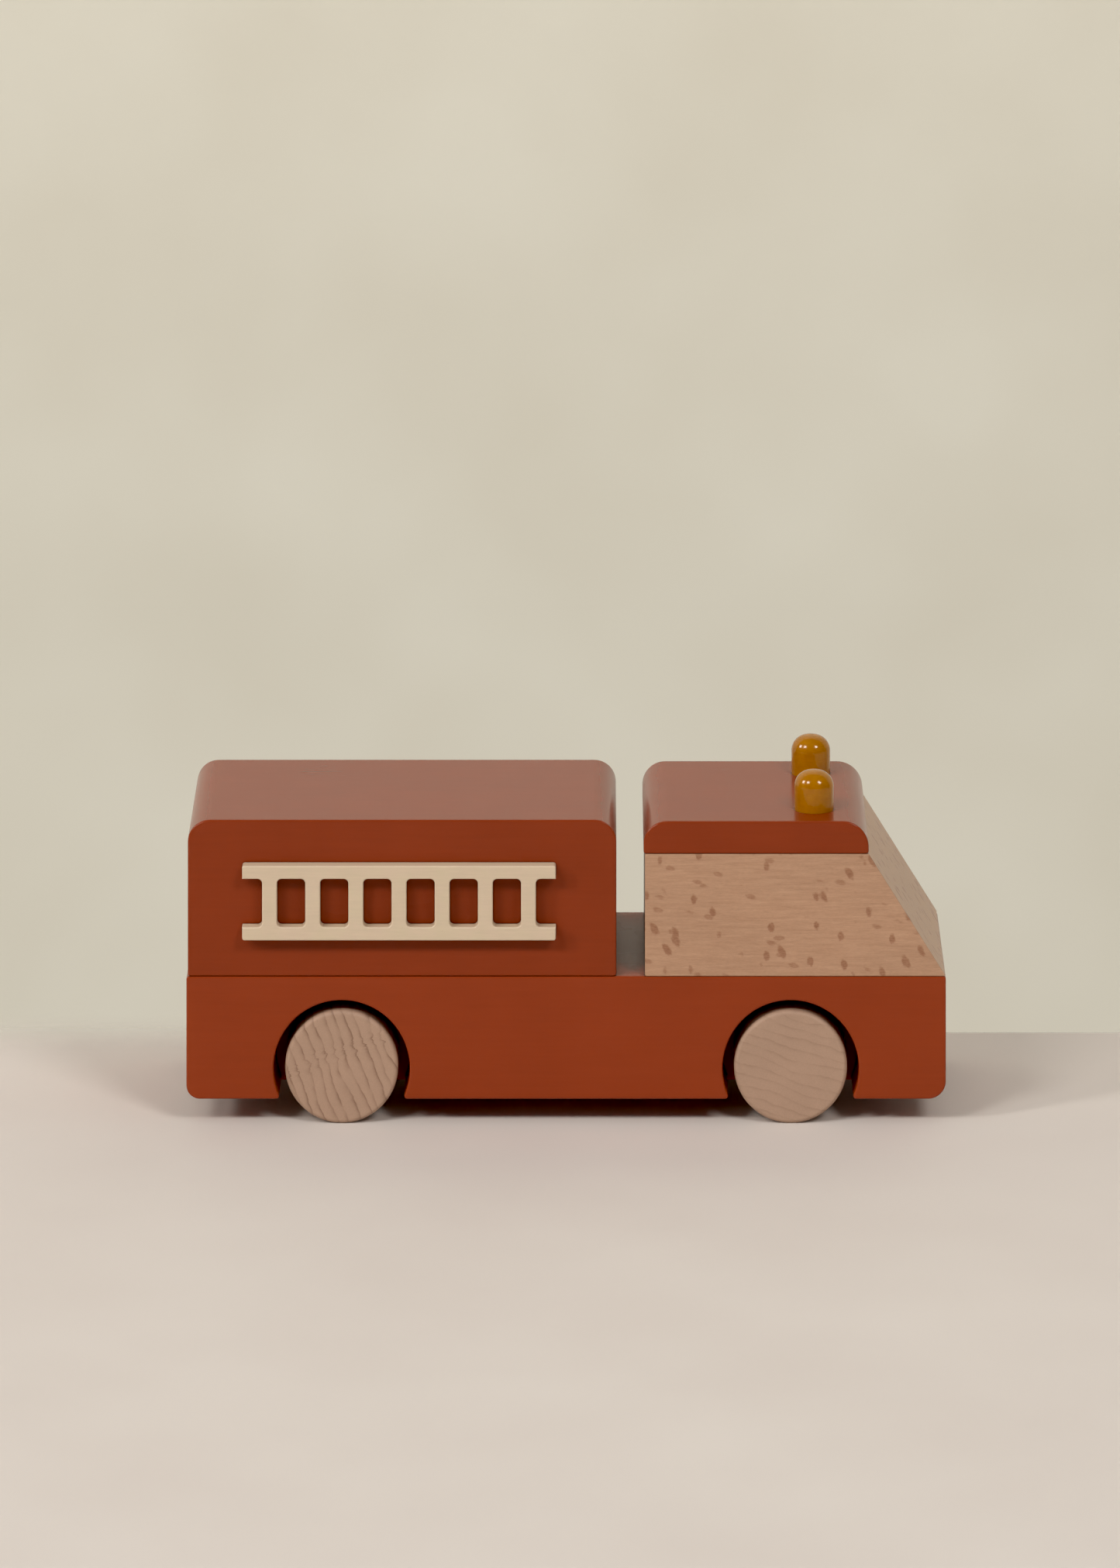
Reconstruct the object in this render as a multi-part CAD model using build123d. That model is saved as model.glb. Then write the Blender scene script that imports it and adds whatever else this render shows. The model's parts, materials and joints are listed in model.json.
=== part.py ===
from build123d import *
import math
import os

# Wooden toy fire engine, in millimetres. +X points to the nose, +Y to the left side and +Z up.
# The origin lies on the ground, under the middle of the chassis.

# Chassis block
CHASSIS_LENGTH = 214.8
CHASSIS_WIDTH = 70.0
CHASSIS_HEIGHT = 34.7
GROUND_CLEARANCE = 7.1
REAR_HEEL_RADIUS = 3.8
FRONT_TOE_RADIUS = 5.0

# Wheels, the pockets they sit in, and their axles
WHEEL_RADIUS = 16.0
WHEEL_THICKNESS = 17.5
WHEEL_EDGE_RADIUS = 1.2
WHEEL_INSET = 0.5
WHEELBASE = 127.0
POCKET_RADIUS = 19.3
POCKET_DEPTH = 20.0
POCKET_DROP = 0.3
AXLE_RADIUS = 2.5
AXLE_SOCKET_DEPTH = 11.0
WASHER_RADIUS = 5.0
WASHER_THICKNESS = 1.0

# Blocks that stand on the chassis, each a hair narrower than it
BLOCK_WIDTH = CHASSIS_WIDTH - 0.2
BODY_LENGTH = 121.2
BODY_HEIGHT = 44.2
BODY_REAR_INSET = 0.4
BODY_SHOULDER_RADIUS = 6.2
CAB_GAP = 8.1
CAB_HEIGHT = 34.6
CAB_TOP_LENGTH = 63.3
ROOF_HEIGHT = 9.2
ROOF_OVERHANG = 0.4
ROOF_REAR_RADIUS = 6.6
ROOF_FRONT_RADIUS = 7.4

# Ladder, cut from one board
LADDER_LENGTH = 88.6
LADDER_HEIGHT = 21.1
LADDER_THICKNESS = 4.0
LADDER_RAIL = 3.75
LADDER_RUNG = 4.2
LADDER_PITCH = 12.19
LADDER_RUNGS = 7
LADDER_REAR_MARGIN = 15.5
LADDER_TOP_MARGIN = 11.95
LADDER_FILLET = 1.3

# Beacon pegs
BEACON_RADIUS = 5.6
BEACON_HEIGHT = 11.2
BEACON_SHOULDER_RADIUS = 4.6
BEACON_CROWN_RADIUS = 9.0
BEACON_SETBACK = 37.0
BEACON_SPREAD = 41.4
TENON_RADIUS = 2.5
TENON_LENGTH = 6.0

# Glue dowels
DOWEL_RADIUS = 4.0
DOWEL_LENGTH = 24.0
ROOF_DOWEL_RADIUS = 3.0
ROOF_DOWEL_LENGTH = 12.0
DOWEL_CHAMFER = 0.8

# Fits and softened edges
RUNNING_CLEARANCE = 0.08
GLUE_CLEARANCE = 0.05
SOCKET_END_GAP = 0.5
PAINTED_EDGE = 0.5
BARE_EDGE = 0.35
CORNER_RADIUS = 0.8

# Levels and stations that follow from the sizes above
CHASSIS_TOP = GROUND_CLEARANCE + CHASSIS_HEIGHT
CAB_TOP = CHASSIS_TOP + CAB_HEIGHT
ROOF_TOP = CAB_TOP + ROOF_HEIGHT
REAR_END = -CHASSIS_LENGTH / 2
FRONT_END = CHASSIS_LENGTH / 2
BODY_REAR = REAR_END + BODY_REAR_INSET
BODY_FRONT = BODY_REAR + BODY_LENGTH
CAB_REAR = BODY_FRONT + CAB_GAP
CAB_TOP_FRONT = CAB_REAR + CAB_TOP_LENGTH
ROOF_REAR = CAB_REAR - ROOF_OVERHANG
AXLE_STATIONS = {"rear": -WHEELBASE / 2, "front": WHEELBASE / 2}
SIDES = {"left": 1, "right": -1}
WEB_WIDTH = CHASSIS_WIDTH - 2 * POCKET_DEPTH
WHEEL_OUTER_FACE = CHASSIS_WIDTH / 2 - WHEEL_INSET
WHEEL_INNER_FACE = WHEEL_OUTER_FACE - WHEEL_THICKNESS
AXLE_LENGTH = 2 * (WHEEL_INNER_FACE + AXLE_SOCKET_DEPTH)
BEACON_STATION = FRONT_END - BEACON_SETBACK

# Where the dowels stand, by node name
BODY_DOWELS = {
    "body_dowel_rear": BODY_REAR + 0.22 * BODY_LENGTH,
    "body_dowel_front": BODY_REAR + 0.78 * BODY_LENGTH,
}
CAB_DOWELS = {
    "cab_dowel_rear": CAB_REAR + 0.24 * CAB_TOP_LENGTH,
    "cab_dowel_front": CAB_REAR + 0.95 * CAB_TOP_LENGTH,
}
ROOF_DOWELS = {
    "roof_dowel_rear": CAB_REAR + 0.2 * CAB_TOP_LENGTH,
    "roof_dowel_front": CAB_REAR + 0.62 * CAB_TOP_LENGTH,
}


def side_outline(corners):
    """Outline seen from the side, from (x, z, corner radius) triples."""
    outline = Polygon(*[(x, z) for x, z, _ in corners], align=None)
    for x, z, radius in corners:
        vertex = outline.vertices().sort_by_distance((x, z, 0))[0]
        outline = fillet(vertex, radius)
    return outline


def across(outline, width):
    """Extrude a side outline across the toy, centred on its middle plane."""
    return extrude(Plane.XZ * outline, amount=width / 2, both=True)


def soften_sides(block, radius):
    """Round the edges all around the two flat sides of a block."""
    sides = block.faces().sort_by(Axis.Y)
    return fillet(sides[0].edges() + sides[-1].edges(), radius)


def upright_hole(x, y, radius, z_low, z_high):
    """Tool that cuts a vertical round hole between two levels."""
    return Pos(x, y, (z_low + z_high) / 2) * Cylinder(radius, z_high - z_low)


def dowel_sockets(stations, radius, length, joint_level):
    """Tools for the round sockets that take dowels across a glued joint."""
    reach = length / 2 + SOCKET_END_GAP
    return [
        upright_hole(x, 0, radius + GLUE_CLEARANCE, joint_level - reach, joint_level + reach)
        for x in stations.values()
    ]


def dowel(station, radius, length, joint_level):
    """Upright glue dowel, half its length on each side of the joint."""
    peg = Cylinder(radius, length)
    peg = chamfer(peg.edges().filter_by(GeomType.CIRCLE), DOWEL_CHAMFER)
    return Pos(station, 0, joint_level) * peg


def pocket_cheek(outline):
    """Chassis outline with the two wheel arches cut from its lower edge."""
    cheek = outline
    for station in AXLE_STATIONS.values():
        cheek -= Pos(station, WHEEL_RADIUS - POCKET_DROP) * Circle(POCKET_RADIUS)
    rise = WHEEL_RADIUS - POCKET_DROP - GROUND_CLEARANCE
    half_mouth = math.sqrt(POCKET_RADIUS**2 - rise**2)
    for station in AXLE_STATIONS.values():
        for end in (-1, 1):
            corner = (station + end * half_mouth, GROUND_CLEARANCE, 0)
            vertex = cheek.vertices().sort_by_distance(corner)[0]
            cheek = fillet(vertex, CORNER_RADIUS)
    return cheek


def make_chassis():
    """Long block with four wheel pockets, two axle bores and dowel sockets in its top."""
    outline = side_outline([
        (REAR_END, GROUND_CLEARANCE, REAR_HEEL_RADIUS),
        (FRONT_END, GROUND_CLEARANCE, FRONT_TOE_RADIUS),
        (FRONT_END, CHASSIS_TOP, CORNER_RADIUS),
        (REAR_END, CHASSIS_TOP, CORNER_RADIUS),
    ])
    web = across(outline, WEB_WIDTH)
    cheek_board = extrude(Plane.XZ * pocket_cheek(outline), amount=POCKET_DEPTH)
    block = web
    for side in SIDES.values():
        shift = (WEB_WIDTH + POCKET_DEPTH) / 2 * side + POCKET_DEPTH / 2
        block += Pos(0, shift, 0) * cheek_board
    block = soften_sides(block, PAINTED_EDGE)
    for station in AXLE_STATIONS.values():
        bore = Cylinder(AXLE_RADIUS + RUNNING_CLEARANCE, CHASSIS_WIDTH)
        block -= Pos(station, 0, WHEEL_RADIUS) * Rot(90, 0, 0) * bore
    block -= dowel_sockets(BODY_DOWELS, DOWEL_RADIUS, DOWEL_LENGTH, CHASSIS_TOP)
    block -= dowel_sockets(CAB_DOWELS, DOWEL_RADIUS, DOWEL_LENGTH, CHASSIS_TOP)
    return block


def make_rear_body():
    """Tall block behind the gap, its upper corners rounded like a box van's."""
    top = CHASSIS_TOP + BODY_HEIGHT
    outline = side_outline([
        (BODY_REAR, CHASSIS_TOP, CORNER_RADIUS),
        (BODY_FRONT, CHASSIS_TOP, CORNER_RADIUS),
        (BODY_FRONT, top, BODY_SHOULDER_RADIUS),
        (BODY_REAR, top, BODY_SHOULDER_RADIUS),
    ])
    block = soften_sides(across(outline, BLOCK_WIDTH), PAINTED_EDGE)
    return block - dowel_sockets(BODY_DOWELS, DOWEL_RADIUS, DOWEL_LENGTH, CHASSIS_TOP)


def make_cab_block():
    """Bare wood cab whose front is cut back as a sloping windscreen."""
    outline = side_outline([
        (CAB_REAR, CHASSIS_TOP, BARE_EDGE),
        (FRONT_END, CHASSIS_TOP, BARE_EDGE),
        (CAB_TOP_FRONT, CAB_TOP, BARE_EDGE),
        (CAB_REAR, CAB_TOP, BARE_EDGE),
    ])
    block = soften_sides(across(outline, BLOCK_WIDTH), BARE_EDGE / 1.4)
    block -= dowel_sockets(CAB_DOWELS, DOWEL_RADIUS, DOWEL_LENGTH, CHASSIS_TOP)
    return block - dowel_sockets(ROOF_DOWELS, ROOF_DOWEL_RADIUS, ROOF_DOWEL_LENGTH, CAB_TOP)


def make_cab_roof():
    """Painted slab on the cab, a hair proud at the rear, with sockets for dowels and beacons."""
    outline = side_outline([
        (ROOF_REAR, CAB_TOP, CORNER_RADIUS),
        (CAB_TOP_FRONT, CAB_TOP, CORNER_RADIUS),
        (CAB_TOP_FRONT, ROOF_TOP, ROOF_FRONT_RADIUS),
        (ROOF_REAR, ROOF_TOP, ROOF_REAR_RADIUS),
    ])
    slab = soften_sides(across(outline, BLOCK_WIDTH), PAINTED_EDGE)
    slab -= dowel_sockets(ROOF_DOWELS, ROOF_DOWEL_RADIUS, ROOF_DOWEL_LENGTH, CAB_TOP)
    for side in SIDES.values():
        floor = ROOF_TOP - TENON_LENGTH - SOCKET_END_GAP
        radius = TENON_RADIUS + GLUE_CLEARANCE
        slab -= upright_hole(BEACON_STATION, side * BEACON_SPREAD / 2, radius, floor, ROOF_TOP)
    return slab


def ladder_outline():
    """Front view of the ladder: two rails that run on past the first and last rungs."""
    window = LADDER_PITCH - LADDER_RUNG
    opening = LADDER_HEIGHT - 2 * LADDER_RAIL
    board = Rectangle(LADDER_LENGTH, LADDER_HEIGHT)
    board = fillet(board.vertices(), BARE_EDGE * 2)
    for place in range(LADDER_RUNGS - 1):
        x = (place - (LADDER_RUNGS - 2) / 2) * LADDER_PITCH
        board -= Pos(x, 0) * RectangleRounded(window, opening, LADDER_FILLET)
    rung_span = (LADDER_RUNGS - 1) * LADDER_PITCH + LADDER_RUNG
    for end in (-1, 1):
        x = end * (rung_span / 2 + LADDER_LENGTH / 2)
        board -= Pos(x, 0) * RectangleRounded(LADDER_LENGTH, opening, LADDER_FILLET)
    return board


def make_ladder(side):
    """Ladder glued flat on one side of the rear body, its outer edges softened."""
    board = extrude(Plane.XZ * ladder_outline(), amount=LADDER_THICKNESS)
    board = fillet(board.faces().sort_by(Axis.Y)[0].edges(), BARE_EDGE)
    if side > 0:
        board = mirror(board, about=Plane.XZ)
    x = BODY_REAR + LADDER_REAR_MARGIN + LADDER_LENGTH / 2
    z = CHASSIS_TOP + BODY_HEIGHT - LADDER_TOP_MARGIN - LADDER_HEIGHT / 2
    return Pos(x, side * BLOCK_WIDTH / 2, z) * board


def make_beacon(side):
    """Round peg with a full shoulder and a low crown, and a tenon that is glued into the roof."""
    crown_drop = BEACON_CROWN_RADIUS - math.sqrt(BEACON_CROWN_RADIUS**2 - BEACON_RADIUS**2)
    crown_edge = (BEACON_RADIUS, BEACON_HEIGHT - crown_drop)
    walls = Polyline(
        (0, BEACON_HEIGHT),
        (0, -TENON_LENGTH),
        (TENON_RADIUS, -TENON_LENGTH),
        (TENON_RADIUS, 0),
        (BEACON_RADIUS, 0),
        crown_edge,
    )
    crown = RadiusArc(crown_edge, (0, BEACON_HEIGHT), -BEACON_CROWN_RADIUS)
    half_section = make_face([*walls.edges(), *crown.edges()])
    vertex = half_section.vertices().sort_by_distance((*crown_edge, 0))[0]
    half_section = fillet(vertex, BEACON_SHOULDER_RADIUS)
    peg = revolve(Plane.XZ * half_section, Axis.Z)
    return Pos(BEACON_STATION, side * BEACON_SPREAD / 2, ROOF_TOP) * peg


def make_wheel(station, side):
    """Solid turned wheel with a plain outer face and a blind axle socket behind it."""
    disc = Cylinder(WHEEL_RADIUS, WHEEL_THICKNESS)
    disc = fillet(disc.edges().filter_by(GeomType.CIRCLE), WHEEL_EDGE_RADIUS)
    socket = Cylinder(AXLE_RADIUS + GLUE_CLEARANCE, AXLE_SOCKET_DEPTH)
    disc -= Pos(0, 0, (AXLE_SOCKET_DEPTH - WHEEL_THICKNESS) / 2) * socket
    centre = side * (WHEEL_INNER_FACE + WHEEL_THICKNESS / 2)
    return Pos(station, centre, WHEEL_RADIUS) * Rot(-90 * side, 0, 0) * disc


def make_axle(station):
    """Steel rod that crosses the chassis and ends inside both wheels."""
    rod = Cylinder(AXLE_RADIUS, AXLE_LENGTH)
    rod = chamfer(rod.edges().filter_by(GeomType.CIRCLE), AXLE_RADIUS / 6)
    return Pos(station, 0, WHEEL_RADIUS) * Rot(90, 0, 0) * rod


def make_washer(station, side):
    """Thin spacer against the inner face of a wheel."""
    ring = Cylinder(WASHER_RADIUS, WASHER_THICKNESS)
    ring -= Cylinder(AXLE_RADIUS + GLUE_CLEARANCE, WASHER_THICKNESS)
    centre = side * (WHEEL_INNER_FACE - WASHER_THICKNESS / 2)
    return Pos(station, centre, WHEEL_RADIUS) * Rot(90, 0, 0) * ring


def make_parts():
    """Every separate piece of the toy, by node name."""
    parts = {
        "chassis": make_chassis(),
        "rear_body": make_rear_body(),
        "cab_block": make_cab_block(),
        "cab_roof": make_cab_roof(),
    }
    for side_name, side in SIDES.items():
        parts[f"ladder_{side_name}"] = make_ladder(side)
        parts[f"beacon_{side_name}"] = make_beacon(side)
    for end_name, station in AXLE_STATIONS.items():
        parts[f"{end_name}_axle"] = make_axle(station)
        for side_name, side in SIDES.items():
            parts[f"wheel_{end_name}_{side_name}"] = make_wheel(station, side)
            parts[f"washer_{end_name}_{side_name}"] = make_washer(station, side)
    for name, station in (BODY_DOWELS | CAB_DOWELS).items():
        parts[name] = dowel(station, DOWEL_RADIUS, DOWEL_LENGTH, CHASSIS_TOP)
    for name, station in ROOF_DOWELS.items():
        parts[name] = dowel(station, ROOF_DOWEL_RADIUS, ROOF_DOWEL_LENGTH, CAB_TOP)
    return parts


os.makedirs("parts", exist_ok=True)
for node, shape in make_parts().items():
    export_step(shape, f"parts/{node}.step")
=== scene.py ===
import json
import math

import bpy
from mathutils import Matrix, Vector


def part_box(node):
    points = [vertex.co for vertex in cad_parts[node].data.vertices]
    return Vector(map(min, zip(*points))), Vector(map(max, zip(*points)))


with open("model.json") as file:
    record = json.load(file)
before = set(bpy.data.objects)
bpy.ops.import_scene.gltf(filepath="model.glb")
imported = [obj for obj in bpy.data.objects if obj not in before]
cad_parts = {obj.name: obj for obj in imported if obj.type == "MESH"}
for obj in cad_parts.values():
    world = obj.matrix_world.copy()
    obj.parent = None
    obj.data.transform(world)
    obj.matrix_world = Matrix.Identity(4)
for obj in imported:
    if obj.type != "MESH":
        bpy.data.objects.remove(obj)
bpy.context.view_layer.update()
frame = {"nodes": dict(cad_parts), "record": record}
scene = bpy.context.scene
MM = 0.001


# --- Colours -------------------------------------------------------------------------------

def rgb(red, green, blue):
    """Linear opaque colour from 8-bit sRGB values."""
    values = [c / 255 for c in (red, green, blue)]
    return [c / 12.92 if c < 0.04045 else ((c + 0.055) / 1.055) ** 2.4 for c in values] + [1.0]


RED = rgb(134, 56, 29)
RED_DUST = rgb(190, 130, 96)
RED_EDGE = rgb(170, 84, 48)
RED_PAINTED_SHADE = rgb(36, 10, 4)
BEECH_DARK = rgb(169, 130, 103)
BEECH_LIGHT = rgb(187, 149, 121)
BEECH_FLECK = rgb(128, 78, 52)
BEECH_EDGE_HIGHLIGHT = rgb(214, 184, 158)
BEECH_PAINTED_SHADE = rgb(70, 40, 24)
WHEEL_LIGHT = rgb(173, 143, 122)
WHEEL_DARK = rgb(112, 80, 62)
WHEEL_EDGE_HIGHLIGHT = rgb(214, 186, 164)
CREAM = rgb(206, 188, 161)
CREAM_PINK = rgb(208, 187, 163)
CREAM_SPECK = rgb(176, 138, 104)
CREAM_EDGE_HIGHLIGHT = rgb(240, 220, 198)
MUSTARD = rgb(168, 110, 8)
MUSTARD_DEEP = rgb(158, 100, 5)
MUSTARD_SPECK = rgb(90, 50, 12)
STEEL = rgb(170, 170, 172)
STEEL_STAIN = rgb(150, 148, 146)
NYLON = rgb(222, 216, 204)
NYLON_CLOUD = rgb(206, 198, 184)
DOWEL_DARK = rgb(196, 156, 118)
DOWEL_LIGHT = rgb(222, 188, 152)
TABLE_LIGHT = rgb(219, 212, 206)
TABLE_DARK = rgb(215, 207, 201)
WALL_LIGHT = rgb(208, 203, 188)
WALL_DARK = rgb(203, 197, 181)


# --- Node materials ------------------------------------------------------------------------

class Look:
    """A node material, whose methods add nodes to it and mostly return an output socket.

    Masks, heights and noises run from 0 to 1, and lengths are in millimetres.
    """

    def __init__(self, name):
        self.material = bpy.data.materials.new(name)
        self.material.use_nodes = True
        self.tree = self.material.node_tree
        self.tree.nodes.clear()
        self.output = self.tree.nodes.new("ShaderNodeOutputMaterial")

    def add(self, kind, settings=None, inputs=None):
        """The new node, with its settings and its inputs, which are either plain values or sockets."""
        node = self.tree.nodes.new(kind)
        for key, value in (settings or {}).items():
            setattr(node, key, value)
        for key, value in (inputs or {}).items():
            if isinstance(value, bpy.types.NodeSocket):
                self.tree.links.new(value, node.inputs[key])
            elif value is not None:
                node.inputs[key].default_value = value
        return node

    def mapping(self, vector, **inputs):
        """Vector stretched, turned and moved by the inputs Scale, Rotation and Location."""
        return self.add("ShaderNodeMapping", None, {"Vector": vector, **inputs}).outputs[0]

    def place(self, centre=(0, 0, 0), turn=(0, 0, 0), scale=(1, 1, 1)):
        """Coordinates in millimetres from a centre given in metres, turned and then stretched."""
        raw = self.add("ShaderNodeTexCoord").outputs["Object"]
        shifted = self.mapping(raw, Location=[-c / MM for c in centre], Scale=[1 / MM] * 3)
        return self.mapping(self.mapping(shifted, Rotation=turn), Scale=scale)

    def noise(self, vector, scale=1.0, detail=3.0, roughness=0.5, distortion=0.0):
        inputs = {
            "Vector": vector, "Scale": scale, "Detail": detail,
            "Roughness": roughness, "Distortion": distortion,
        }
        return self.add("ShaderNodeTexNoise", None, inputs).outputs["Fac"]

    def math(self, operation, a, b=0.0):
        return self.add("ShaderNodeMath", {"operation": operation}, {0: a, 1: b}).outputs[0]

    def weigh(self, a, a_weight, b, b_weight):
        """Sum of two values, each times its weight."""
        weighed_a = self.math("MULTIPLY", a, a_weight)
        return self.math("ADD", weighed_a, self.math("MULTIPLY", b, b_weight))

    def span(self, value, low, high, to_low=0.0, to_high=1.0, smooth=False):
        """Maps low..high to to_low..to_high, clamped."""
        settings = {"interpolation_type": "SMOOTHSTEP" if smooth else "LINEAR", "clamp": True}
        inputs = {"Value": value, "From Min": low, "From Max": high, "To Min": to_low, "To Max": to_high}
        return self.add("ShaderNodeMapRange", settings, inputs).outputs[0]

    def spread(self, noise, low=0.0, high=1.0):
        """Spreads a noise, which mostly lies in 0.3..0.7, over low..high."""
        return self.span(noise, 0.3, 0.7, low, high)

    def mix(self, share, first, second, blend="MIX"):
        settings = {"data_type": "RGBA", "blend_type": blend, "clamp_factor": True}
        return self.add("ShaderNodeMix", settings, {0: share, 6: first, 7: second}).outputs[2]

    def tint(self, colour, factor):
        """Colour times a grey factor."""
        grey = self.add("ShaderNodeCombineColor", None, {0: factor, 1: factor, 2: factor})
        return self.mix(1.0, colour, grey.outputs[0], "MULTIPLY")

    def cover(self, colour, other, mask, strength):
        """Colour with another one over it where the mask is high."""
        return self.mix(self.math("MULTIPLY", mask, strength), colour, other)

    def split(self, vector):
        """The three components of a vector."""
        return self.add("ShaderNodeSeparateXYZ", None, {0: vector}).outputs

    def rounded(self, radius):
        """Normal that turns smoothly around the edges, as if they were sanded round."""
        return self.add("ShaderNodeBevel", {"samples": 6}, {"Radius": radius * MM}).outputs[0]

    def edge_wear_and_highlight(self, radius):
        """Mask that is 0 on the faces and rises towards 1 on the edges, used for edge wear and for painted
        edge highlights.
        """
        plain = self.add("ShaderNodeNewGeometry").outputs["Normal"]
        normals = {0: self.rounded(radius), 1: plain}
        cosine = self.add("ShaderNodeVectorMath", {"operation": "DOT_PRODUCT"}, normals).outputs["Value"]
        return self.span(cosine, 0.995, 0.9, smooth=True)

    def occlusion_shade(self, reach):
        """Ambient-occlusion mask for painted shade: 1 deep inside narrow gaps and along contact lines, and
        0 in the open.
        """
        inputs = {"Distance": reach * MM}
        open_share = self.add("ShaderNodeAmbientOcclusion", {"samples": 8}, inputs).outputs["AO"]
        return self.span(open_share, 0.85, 0.35, smooth=True)

    def bump(self, height, depth, normal=None):
        """Normal of a surface whose height 0..1 stands for a depth."""
        inputs = {"Height": height, "Strength": 1.0, "Distance": depth * MM, "Normal": normal}
        return self.add("ShaderNodeBump", None, inputs).outputs[0]

    def finish(self, **inputs):
        """Gives the material a principled surface, and returns the material.

        The inputs' names have underscores for spaces.
        """
        named = {key.replace("_", " "): value for key, value in inputs.items()}
        shader = self.add("ShaderNodeBsdfPrincipled", None, named)
        self.tree.links.new(shader.outputs[0], self.output.inputs["Surface"])
        return self.material

    def see_through(self, share, surface):
        """Gives the material this surface with a share of it clear, and returns the material."""
        clear = self.add("ShaderNodeBsdfTransparent").outputs[0]
        both = self.add("ShaderNodeMixShader", None, {0: share, 1: surface, 2: clear}).outputs[0]
        self.tree.links.new(both, self.output.inputs["Surface"])
        return self.material


# --- Materials of the toy ------------------------------------------------------------------

def red_paint(name, shade):
    """Satin rust-red lacquer with the wood's grain showing faintly through it."""
    look = Look(name)
    grain = look.noise(look.place(scale=(0.05, 1.1, 1.1)), 1.0, 5.0, 0.6, 0.15)
    orange_peel = look.noise(look.place(scale=(0.9, 1.6, 1.6)), 1.0, 3.0, 0.6)
    blotch = look.noise(look.place(), 0.035, 3.0)
    dust = look.noise(look.place(), 2.6, 2.0, 0.7)
    # Painted shade on the reflection: deep in shut-in places, such as the gap between cab and body, the
    # paint is made rougher and less reflective
    shut_in = look.occlusion_shade(14.0)

    colour = look.tint(RED, look.spread(blotch, 0.96 * shade, 1.04 * shade))
    colour = look.tint(colour, look.spread(grain, 0.975, 1.025))
    colour = look.mix(look.span(dust, 0.77, 0.81, 0.0, 0.35), colour, RED_DUST)
    colour = look.cover(colour, RED_EDGE, look.edge_wear_and_highlight(0.6), 0.25)
    # Painted shade: dark red in seams, gaps and along contact lines
    colour = look.cover(colour, RED_PAINTED_SHADE, look.occlusion_shade(0.9), 0.85)
    rough = look.math("ADD", look.spread(blotch, 0.17, 0.20), look.math("MULTIPLY", shut_in, 0.12))
    height = look.weigh(grain, 0.25, orange_peel, 0.75)
    return look.finish(
        Base_Color=colour, Roughness=rough, IOR=1.29,
        Specular_IOR_Level=look.span(shut_in, 0.0, 1.0, 0.5, 0.4),
        Normal=look.bump(height, 0.0009, look.rounded(0.55)),
    )


def flecks(look, lean, width, length, seed, share):
    """Mask of beech's short dark rays: soft ellipses that lean by some degrees, in a share of the cells."""
    per_fleck = 0.24
    stretch = (per_fleck / width, per_fleck / width, per_fleck / length)
    start = (seed * MM, 3 * seed * MM, 7 * seed * MM)
    cell = look.place(start, (0, math.radians(lean), 0), stretch)
    noise_inputs = {"Vector": cell, "Scale": 3.0, "Detail": 2.0}
    wobble = look.add("ShaderNodeTexNoise", None, noise_inputs).outputs["Color"]
    bent = look.add("ShaderNodeMix", {"data_type": "VECTOR"}, {0: 0.22, 4: cell, 5: wobble}).outputs[1]
    cell_inputs = {"Vector": bent, "Scale": 1.0, "Randomness": 0.95}
    cells = look.add("ShaderNodeTexVoronoi", {"feature": "F1"}, cell_inputs)
    chance, tone, _ = look.split(cells.outputs["Color"])
    spot = look.span(cells.outputs["Distance"], 0.13, 0.25, 1.0, 0.0, smooth=True)
    chosen = look.math("MULTIPLY", spot, look.math("LESS_THAN", chance, share))
    return look.math("MULTIPLY", chosen, look.span(tone, 0.0, 1.0, 0.45, 1.0))


def bare_beech():
    """Clear-lacquered beech, seen along the grain: fine wavy lines and short brown flecks."""
    look = Look("bare_beech")
    long_grain = look.noise(look.place(scale=(0.09, 0.8, 1.3)), 1.0, 6.0, 0.7, 0.4)
    lines = look.noise(look.place(scale=(0.2, 1.4, 4.0)), 1.0, 4.0, 0.65, 0.5)
    fine_grain = look.noise(look.place(scale=(1.1, 5.0, 8.0)), 1.0, 3.0, 0.6, 0.2)
    cloud = look.noise(look.place(scale=(0.03, 0.08, 0.08)), 1.0, 2.0)
    steep = flecks(look, lean=28, width=0.95, length=1.8, seed=11, share=0.75)
    upright = flecks(look, lean=5, width=0.9, length=1.3, seed=29, share=0.6)
    level = flecks(look, lean=80, width=0.7, length=1.4, seed=53, share=0.85)
    spots = look.math("MAXIMUM", look.math("MAXIMUM", steep, upright), level)
    streaked_spots = look.math("MULTIPLY", spots, look.span(fine_grain, 0.35, 0.6, 1.0, 0.6))

    colour = look.mix(look.spread(long_grain), BEECH_DARK, BEECH_LIGHT)
    colour = look.tint(colour, look.span(lines, 0.30, 0.45, 0.93, 1.0))
    colour = look.tint(colour, look.spread(fine_grain, 0.92, 1.08))
    colour = look.tint(colour, look.spread(cloud, 0.97, 1.03))
    colour = look.cover(colour, BEECH_FLECK, streaked_spots, 0.85)
    # Painted highlight: the beech is paler along its rounded edges
    colour = look.cover(colour, BEECH_EDGE_HIGHLIGHT, look.edge_wear_and_highlight(0.5), 0.3)
    # Painted shade: dark brown in seams, gaps and along contact lines
    colour = look.cover(colour, BEECH_PAINTED_SHADE, look.occlusion_shade(0.8), 0.8)
    height = look.weigh(fine_grain, 0.6, spots, -0.3)
    return look.finish(
        Base_Color=colour, Roughness=look.spread(long_grain, 0.34, 0.44), IOR=1.36,
        Coat_Weight=0.2, Coat_Roughness=0.2,
        Normal=look.bump(height, 0.02, look.rounded(0.4)),
    )


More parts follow.
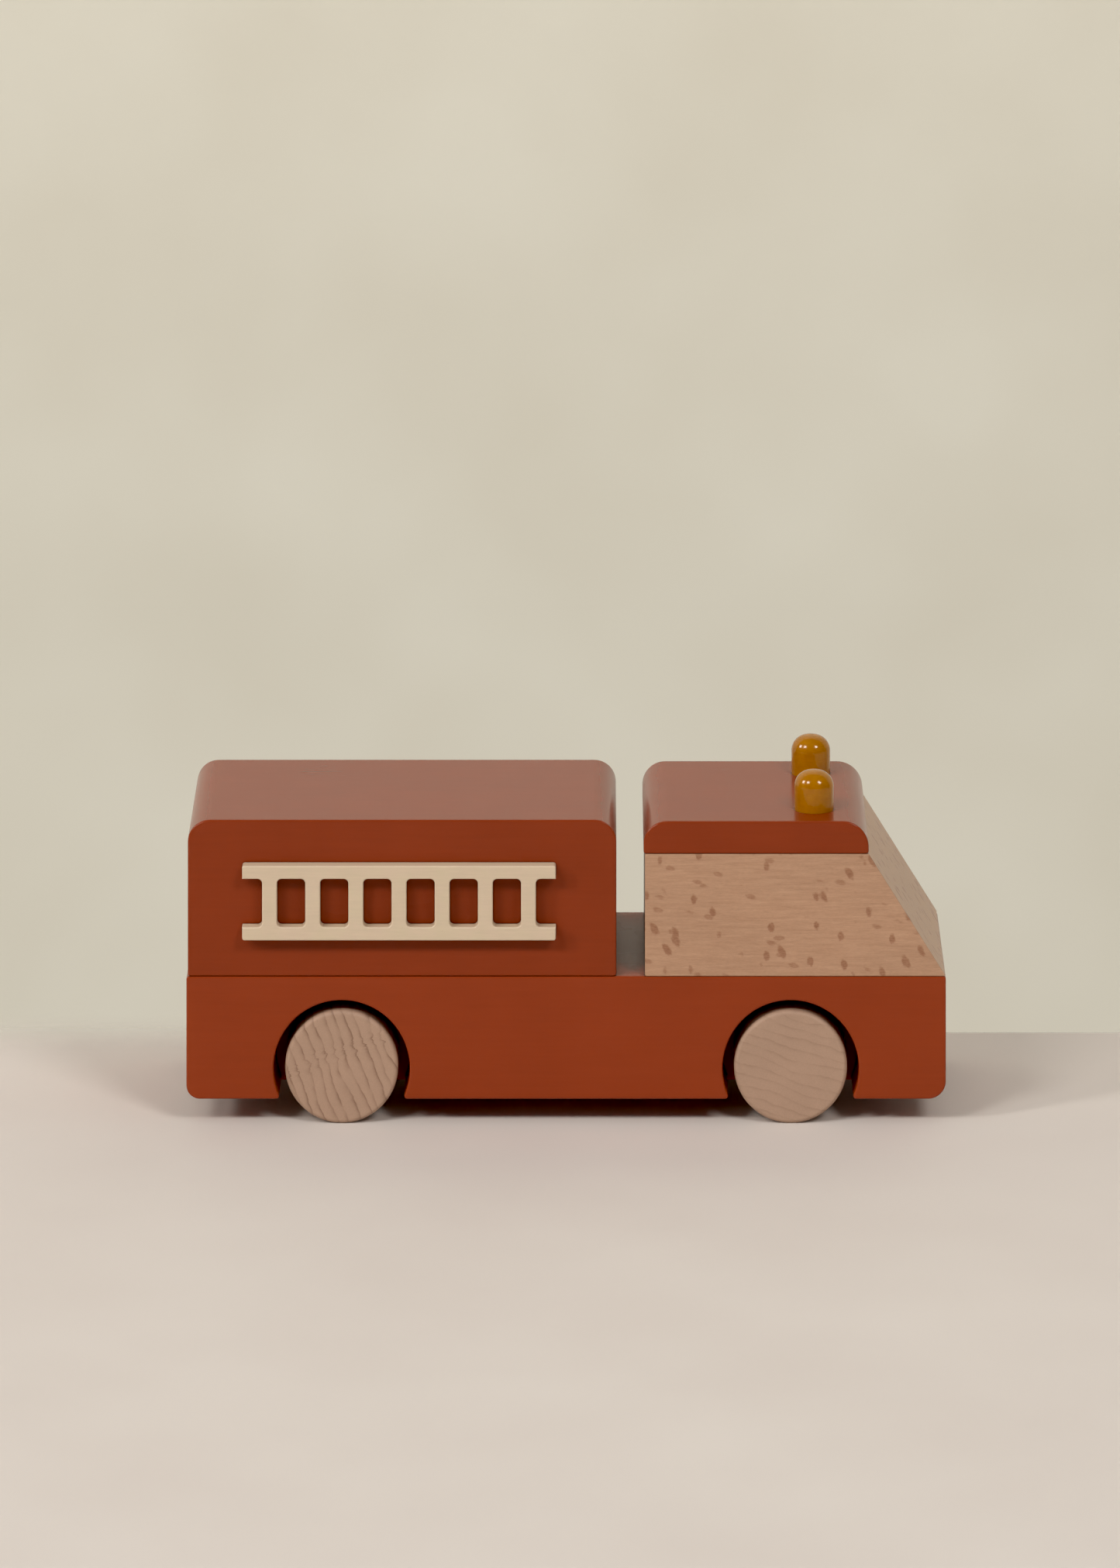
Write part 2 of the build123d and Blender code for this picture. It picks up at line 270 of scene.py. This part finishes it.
def growth_rings(look, centre, turn, spacing, sharpness, jog_height):
    """Mask of leaning growth rings that wander a little and jog sideways at one height."""
    across, _, along = look.split(look.place(centre, turn))
    gentle = look.noise(look.place(centre, turn, (0.10, 0.03, 0.07)), 1.0, 2.0, 0.5)
    jagged = look.noise(look.place(centre, turn, (0.16, 0.03, 0.55)), 1.0, 3.0, 0.6)
    breaks = look.noise(look.place(centre, turn, (0.3, 0.1, 0.16)), 1.0, 2.0)

    off_jog = look.math("ABSOLUTE", look.math("SUBTRACT", along, jog_height))
    at_jog = look.span(off_jog, 0.8, 3.6, 1.0, 0.0, smooth=True)
    jog_reach = look.span(at_jog, 0.0, 1.0, 0.7, 5.2)
    jog = look.math("MULTIPLY", look.math("SUBTRACT", jagged, 0.5), jog_reach)
    wander = look.math("MULTIPLY", look.math("SUBTRACT", gentle, 0.5), 6.0)
    shifted = look.math("ADD", across, look.math("ADD", wander, jog))

    # A ring darkens slowly up to its end, and fades quickly from there to the next ring
    ring_end = 0.93
    phase = look.math("FRACT", look.math("DIVIDE", shifted, spacing))
    ring = look.math("POWER", look.span(phase, 0.0, ring_end), sharpness)
    ring = look.math("MULTIPLY", ring, look.span(phase, ring_end, 1.0, 1.0, 0.0))
    return look.math("MULTIPLY", ring, look.span(breaks, 0.35, 0.6, 0.25, 1.0))


def wheel_beech(node, lean, spacing, strength, sharpness, jog_height):
    """Beech wheel with end grain on its faces."""
    look = Look("wheel_beech." + node)
    low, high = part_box(node)
    centre = (low + high) / 2
    ring = growth_rings(look, centre, (0, math.radians(lean), 0), spacing, sharpness, jog_height)
    speckle = look.noise(look.place(centre, scale=(3.0, 0.3, 3.0)), 1.0, 4.0, 0.7)
    cloud = look.noise(look.place(centre, scale=(0.09, 0.03, 0.09)), 1.0, 3.0)

    colour = look.cover(WHEEL_LIGHT, WHEEL_DARK, ring, strength)
    colour = look.tint(colour, look.spread(speckle, 0.94, 1.06))
    colour = look.tint(colour, look.spread(cloud, 0.96, 1.04))
    # Painted highlight: the wheel is paler along its rounded rim
    colour = look.cover(colour, WHEEL_EDGE_HIGHLIGHT, look.edge_wear_and_highlight(0.7), 0.5)
    height = look.weigh(speckle, 0.6, ring, -0.4 * strength)
    return look.finish(
        Base_Color=colour, Roughness=look.spread(speckle, 0.46, 0.60), IOR=1.42,
        Normal=look.bump(height, 0.05, look.rounded(0.5)),
    )


def cream_paint():
    """Matt cream paint, brushed on, with a painted highlight that makes it paler at the edges."""
    look = Look("cream_paint")
    brush = look.noise(look.place(scale=(0.12, 1.6, 1.6)), 1.0, 4.0, 0.6, 0.2)
    blotch = look.noise(look.place(), 0.16, 3.0, 0.6)
    speck = look.noise(look.place(), 1.7, 2.0, 0.7)

    colour = look.mix(look.span(blotch, 0.35, 0.65), CREAM_PINK, CREAM)
    colour = look.tint(colour, look.spread(brush, 0.97, 1.03))
    colour = look.mix(look.span(speck, 0.74, 0.79, 0.0, 0.35), colour, CREAM_SPECK)
    # Painted highlight: the cream is much paler along the edges
    colour = look.cover(colour, CREAM_EDGE_HIGHLIGHT, look.edge_wear_and_highlight(0.45), 0.8)
    return look.finish(
        Base_Color=colour, Roughness=look.spread(blotch, 0.42, 0.55), IOR=1.45,
        Normal=look.bump(brush, 0.03, look.rounded(0.3)),
    )


def mustard_paint():
    """Gloss mustard lacquer on a turned peg."""
    look = Look("mustard_paint")
    cloud = look.noise(look.place(), 0.3, 3.0, 0.6)
    turning = look.noise(look.place(scale=(0.3, 0.3, 3.0)), 1.0, 3.0, 0.6)
    speck = look.noise(look.place(), 2.4, 2.0, 0.6)

    colour = look.mix(look.spread(cloud), MUSTARD_DEEP, MUSTARD)
    colour = look.tint(colour, look.spread(turning, 0.95, 1.05))
    colour = look.mix(look.span(speck, 0.74, 0.78, 0.0, 0.4), colour, MUSTARD_SPECK)
    return look.finish(
        Base_Color=colour, Roughness=look.spread(cloud, 0.14, 0.20), IOR=1.3,
        Coat_Weight=0.4, Coat_Roughness=0.04,
        Normal=look.bump(turning, 0.02),
    )


def axle_steel():
    """Drawn steel rod with fine turning marks."""
    look = Look("axle_steel")
    marks = look.noise(look.place(scale=(0.4, 6.0, 0.4)), 1.0, 4.0, 0.6)
    stain = look.noise(look.place(), 0.5, 3.0, 0.6)
    return look.finish(
        Base_Color=look.mix(look.span(stain, 0.35, 0.65), STEEL, STEEL_STAIN),
        Metallic=1.0, Roughness=look.spread(marks, 0.25, 0.42),
        Normal=look.bump(marks, 0.02),
    )


def washer_nylon():
    """Natural nylon, a little cloudy."""
    look = Look("washer_nylon")
    cloud = look.noise(look.place(), 0.6, 3.0, 0.6)
    return look.finish(
        Base_Color=look.mix(look.spread(cloud), NYLON, NYLON_CLOUD),
        Roughness=look.spread(cloud, 0.4, 0.55),
        Normal=look.bump(cloud, 0.03),
    )


def dowel_wood():
    """Raw beech dowel with its grain along its length."""
    look = Look("dowel_wood")
    grain = look.noise(look.place(scale=(2.2, 2.2, 0.12)), 1.0, 5.0, 0.6, 0.3)
    return look.finish(
        Base_Color=look.mix(look.spread(grain), DOWEL_DARK, DOWEL_LIGHT),
        Roughness=look.spread(grain, 0.6, 0.75),
        Normal=look.bump(grain, 0.05),
    )


# The rings' lean is in degrees, and their spacing and their jog's height over the axle are in mm
WHEEL_RINGS = {
    "wheel_rear_right": dict(lean=20, spacing=3.0, strength=0.72, sharpness=5.0, jog_height=4.2),
    "wheel_front_right": dict(lean=73, spacing=2.9, strength=0.26, sharpness=6.0, jog_height=-20.0),
    "wheel_rear_left": dict(lean=52, spacing=2.7, strength=0.36, sharpness=3.0, jog_height=-3.0),
    "wheel_front_left": dict(lean=110, spacing=3.3, strength=0.30, sharpness=4.0, jog_height=6.0),
}
# Painted light: the chassis gets a lighter copy of the red paint, for the floor's bounce light on the low
# block
CHASSIS_PAINTED_LIGHT = 1.14

look_of_slot = {
    "red_paint": red_paint("red_paint", 1.0),
    "bare_beech": bare_beech(),
    "cream_paint": cream_paint(),
    "mustard_paint": mustard_paint(),
    "axle_steel": axle_steel(),
    "washer_nylon": washer_nylon(),
    "dowel_wood": dowel_wood(),
}
look_of_node = {node: wheel_beech(node, **rings) for node, rings in WHEEL_RINGS.items()}
# Lighter copy of the red paint on the chassis, as painted light
look_of_node["chassis"] = red_paint("red_paint.chassis_painted_light", CHASSIS_PAINTED_LIGHT)
for part in frame["record"]["subparts"]:
    node, slot_name = part["node"], part["material_slot"]
    piece = frame["nodes"][node]
    piece.data.materials.clear()
    piece.data.materials.append(look_of_node[node] if node in look_of_node else look_of_slot[slot_name])


# --- Camera --------------------------------------------------------------------------------

# The camera looks level along +Y, and its shift brings the toy, which stands lower, into the picture
CAMERA_PLACE = (0.0077, -2.834, 0.791)
CAMERA_LENS = 227.25
CAMERA_SHIFT = {"shift_x": -0.02127, "shift_y": -1.5669}
SAME_HEIGHT = 0.0001

camera = bpy.data.objects.new("camera", bpy.data.cameras.new("camera"))
scene.collection.objects.link(camera)
camera.location = CAMERA_PLACE
camera.rotation_euler = (math.pi / 2, 0, 0)
camera.data.lens = CAMERA_LENS
camera.data.sensor_width = 36.0
camera.data.clip_start = 0.1
camera.data.clip_end = 20.0
scene.camera = camera


def only_from_here(owner, setting, amount):
    """Drives a setting to an amount while the camera is at its own height, and to 0 in other views."""
    driver = owner.driver_add(setting).driver
    height = driver.variables.new()
    height.name = "height"
    height.type = "TRANSFORMS"
    height.targets[0].id = camera
    height.targets[0].transform_type = "LOC_Z"
    height.targets[0].transform_space = "WORLD_SPACE"
    driver.expression = f"{amount} if abs(height - {CAMERA_PLACE[2]}) < {SAME_HEIGHT} else 0.0"


for setting, amount in CAMERA_SHIFT.items():
    only_from_here(camera.data, setting, amount)


# --- Stage ---------------------------------------------------------------------------------

FLOOR_REACH = 9.0
TABLE_EDGE_Y = 0.060
WALL_REACH = 3.0
WALL_Y = 0.60
WALL_BOTTOM = -1.0
WALL_TOP = 1.5


def from_here(look):
    """Socket that is 1 in the camera's own view and 0 in other views."""
    socket = look.add("ShaderNodeValue").outputs[0]
    only_from_here(socket, "default_value", 1.0)
    return socket


def paper(name, light, dark):
    """Matt paper with very soft blotches. Returns the look, its colour and its surface."""
    look = Look(name)
    cloud = look.noise(look.place(scale=(0.012, 0.012, 0.012)), 1.0, 2.0, 0.5)
    tooth = look.noise(look.place(), 0.8, 3.0, 0.6)
    colour = look.mix(look.spread(cloud), dark, light)
    look.finish(Base_Color=colour, Roughness=0.8, IOR=1.2, Normal=look.bump(tooth, 0.02))
    return look, colour, look.output.inputs["Surface"].links[0].from_socket


def table_material():
    """Pale paper. In the camera's own view it ends behind the toy, softly to -X and sharply to +X."""
    look, _, surface = paper("table_paper", TABLE_LIGHT, TABLE_DARK)
    x, y, _ = look.split(look.place())
    softness = look.span(x, -130.0, 40.0, 22.0, 0.6, smooth=True)
    past_edge = look.math("DIVIDE", look.math("SUBTRACT", y, TABLE_EDGE_Y / MM), softness)
    gone = look.math("MULTIPLY", look.span(past_edge, -1.0, 1.0, smooth=True), from_here(look))
    return look.see_through(gone, surface)


def wall_material():
    """Distant pale wall with a little glow of its own, clear from behind and in other views."""
    look, colour, surface = paper("wall_paper", WALL_LIGHT, WALL_DARK)
    height = look.split(look.place())[2]
    glow = look.span(height, -100.0, 210.0, 0.38, 0.33, smooth=True)
    shine = look.add("ShaderNodeEmission", None, {"Color": colour, "Strength": glow}).outputs[0]
    lit = look.add("ShaderNodeAddShader", None, {0: surface, 1: shine}).outputs[0]
    behind = look.add("ShaderNodeNewGeometry").outputs["Backfacing"]
    elsewhere = look.math("SUBTRACT", 1.0, from_here(look))
    return look.see_through(look.math("MAXIMUM", behind, elsewhere), lit)


def sheet(name, reach, start, end, material):
    """Flat sheet between two edges, each at a (y, z), that reaches equally far to -X and +X."""
    corners = [(-reach, *start), (reach, *start), (reach, *end), (-reach, *end)]
    mesh = bpy.data.meshes.new(name)
    mesh.from_pydata(corners, [], [(0, 1, 2, 3)])
    mesh.materials.append(material)
    made = bpy.data.objects.new(name, mesh)
    scene.collection.objects.link(made)
    return made


sheet("table", FLOOR_REACH, (-FLOOR_REACH, 0), (FLOOR_REACH, 0), table_material())
wall = sheet("wall", WALL_REACH, (WALL_Y, WALL_BOTTOM), (WALL_Y, WALL_TOP), wall_material())
wall.visible_shadow = False


# --- Light ---------------------------------------------------------------------------------

LAMP_AIM = Vector((0.0, 0.0, 0.045))
WARM = (1.0, 0.97, 0.93)
NEUTRAL = (1.0, 0.98, 0.95)


def lamp(name, azimuth, elevation, distance, size, power, colour=WARM, hidden_from="glossy"):
    """Round area lamp that looks at the toy. Azimuth 0 is the camera's side, positive to the right."""
    a, e = math.radians(azimuth), math.radians(elevation)
    way = Vector((math.sin(a) * math.cos(e), -math.cos(a) * math.cos(e), math.sin(e)))
    data = bpy.data.lights.new(name, "AREA")
    data.shape = "DISK"
    data.size = size
    data.energy = power
    data.color = colour
    made = bpy.data.objects.new(name, data)
    made.location = LAMP_AIM + way * distance
    made.rotation_euler = way.to_track_quat("Z", "Y").to_euler()
    made.visible_camera = False
    setattr(made, "visible_" + hidden_from, False)
    scene.collection.objects.link(made)


# These three cast the shadows
lamp("lamp_far_left", -57, 28.6, distance=4.0, size=0.6, power=47.0)
lamp("lamp_left", -36, 39, distance=4.0, size=1.0, power=43.0)
lamp("lamp_right", 31, 40.6, distance=4.0, size=1.1, power=50.0)

# These only show as highlights
for side, azimuth, elevation in (("far_left", -78, 33), ("left", -44, 41), ("right", 41, 41)):
    lamp("glint_" + side, azimuth, elevation, distance=4.0, size=1.1, power=60.0, hidden_from="diffuse")

# These soften the shadows
lamp("fill_left", -70, 15, distance=3.0, size=1.5, power=7.0, colour=NEUTRAL)
lamp("fill_right", 70, 15, distance=3.0, size=1.5, power=7.0, colour=NEUTRAL)
lamp("overhead", 0, 80, distance=1.4, size=1.2, power=1.6, colour=NEUTRAL)


def studio_world():
    """Pale room that lights the toy dimly, more from above, and that the camera sees brighter."""
    world = bpy.data.worlds.new("studio")
    world.use_nodes = True
    nodes, links = world.node_tree.nodes, world.node_tree.links
    room = nodes["Background"]
    room.inputs["Color"].default_value = (0.92, 0.90, 0.87, 1.0)

    direction = nodes.new("ShaderNodeSeparateXYZ")
    links.new(nodes.new("ShaderNodeTexCoord").outputs["Generated"], direction.inputs[0])
    dim_light = nodes.new("ShaderNodeMapRange")
    for key, value in {"From Min": 0.0, "From Max": 0.7, "To Min": 0.035, "To Max": 0.185}.items():
        dim_light.inputs[key].default_value = value
    links.new(direction.outputs["Z"], dim_light.inputs["Value"])

    strength = nodes.new("ShaderNodeMix")
    strength.inputs["B"].default_value = 0.6
    links.new(nodes.new("ShaderNodeLightPath").outputs["Is Camera Ray"], strength.inputs["Factor"])
    links.new(dim_light.outputs[0], strength.inputs["A"])
    links.new(strength.outputs["Result"], room.inputs["Strength"])
    return world


scene.world = studio_world()
scene.view_settings.view_transform = "Standard"
scene.view_settings.use_curve_mapping = True
scene.view_settings.curve_mapping.black_level = (0.008, 0.008, 0.008)
